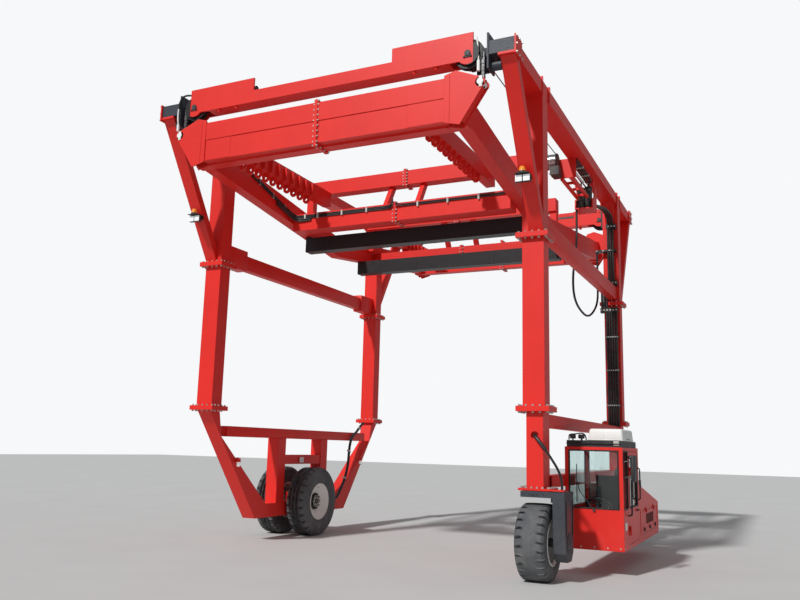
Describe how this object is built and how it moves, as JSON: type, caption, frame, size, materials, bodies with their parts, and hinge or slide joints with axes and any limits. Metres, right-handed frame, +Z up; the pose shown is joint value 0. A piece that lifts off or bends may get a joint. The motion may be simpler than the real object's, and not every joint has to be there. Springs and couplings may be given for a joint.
{
  "type": "straddle carrier",
  "caption": "Tall straddle carrier: side frames on wheels joined by top beams, with a chain-hung lifting frame, low side cab and engine house.",
  "frame": {"origin": "centre of the footprint box on the ground", "axes": "+X towards the cab side, +Y towards the rear, +Z up"},
  "size_m": [7.0174, 8.55, 6.94],
  "materials": {
    "red_paint": "gloss",
    "dark_paint": "satin",
    "black_paint": "satin",
    "white_paint": "satin",
    "tyre": "matte",
    "hose": "satin",
    "steel": "oiled",
    "glass": "clear",
    "amber_lens": "gloss",
    "cast": "rough",
    "black_plastic": "matte"
  },
  "bodies": {
    "frame": {"posts": "red_paint", "post_flanges": "red_paint", "top_rails": "red_paint", "rail_struts": "red_paint", "side_beams": "red_paint", "left_arms": "red_paint", "left_beams": "red_paint", "right_legs": "red_paint", "top_beams": "red_paint", "sheaves": "steel", "stub_tubes": "dark_paint", "hoist_chains": "steel", "cab_base": "red_paint", "cab_frame": "red_paint", "cab_glass": "glass", "roof_deck": "black_plastic", "air_unit": "white_paint", "cab_seat": "black_plastic", "engine_house": "red_paint", "engine_block": "cast", "hose_bundle": "hose", "hoist_units": "cast", "hose_loop": "hose", "leg_hose": "hose", "lamps": "black_plastic", "mirrors": "black_plastic"},
    "front_yoke": {"front_yoke": "dark_paint"},
    "front_wheel": {"front_tyre": "tyre", "front_rim": "white_paint"},
    "rear_yoke": {"rear_yoke": "dark_paint"},
    "rear_wheel": {"rear_tyre": "tyre", "rear_rim": "white_paint"},
    "left_wheels": {"left_tyres": "tyre", "left_rims": "white_paint"},
    "lifting_frame": {"lifting_beams": "red_paint", "lift_ends": "red_paint", "lug_beams": "red_paint", "lug_plates": "red_paint", "spreader_arms": "red_paint", "cross_beams": "red_paint", "braces": "red_paint", "load_bars": "black_paint"},
    "cab_door": {"cab_door": "red_paint", "door_glass": "glass"},
    "engine_door": {"engine_door": "red_paint"}
  },
  "joints": [
    {"name": "front_steer", "type": "hinge", "parent": "frame", "child": "front_yoke", "pos_m": [2.42875, -2.75, 0.9], "axis": [0, 0, 1], "range_deg": [-40, 40]},
    {"name": "front_spin", "type": "hinge", "parent": "front_yoke", "child": "front_wheel", "pos_m": [2.42875, -2.75, 0.485], "axis": [1, 0, 0], "continuous": true},
    {"name": "rear_steer", "type": "hinge", "parent": "frame", "child": "rear_yoke", "pos_m": [2.42875, 2.75, 0.9], "axis": [0, 0, 1], "range_deg": [-40, 40]},
    {"name": "rear_spin", "type": "hinge", "parent": "rear_yoke", "child": "rear_wheel", "pos_m": [2.42875, 2.75, 0.485], "axis": [1, 0, 0], "continuous": true},
    {"name": "left_spin", "type": "hinge", "parent": "frame", "child": "left_wheels", "pos_m": [-2.98125, -0.07, 0.61], "axis": [1, 0, 0], "continuous": true},
    {"name": "hoist", "type": "slide", "parent": "frame", "child": "lifting_frame", "axis": [0, 0, 1], "range_m": [-3.4, 0], "deforming": ["hoist_chains"]},
    {"name": "cab_door_hinge", "type": "hinge", "parent": "frame", "child": "cab_door", "pos_m": [3.37475, -1.468, 1], "axis": [0, 0, 1], "range_deg": [-95, 0]},
    {"name": "engine_door_hinge", "type": "hinge", "parent": "frame", "child": "engine_door", "pos_m": [3.37475, 0.36, 0.778], "axis": [0, 1, 0], "range_deg": [-90, 0]}
  ]
}
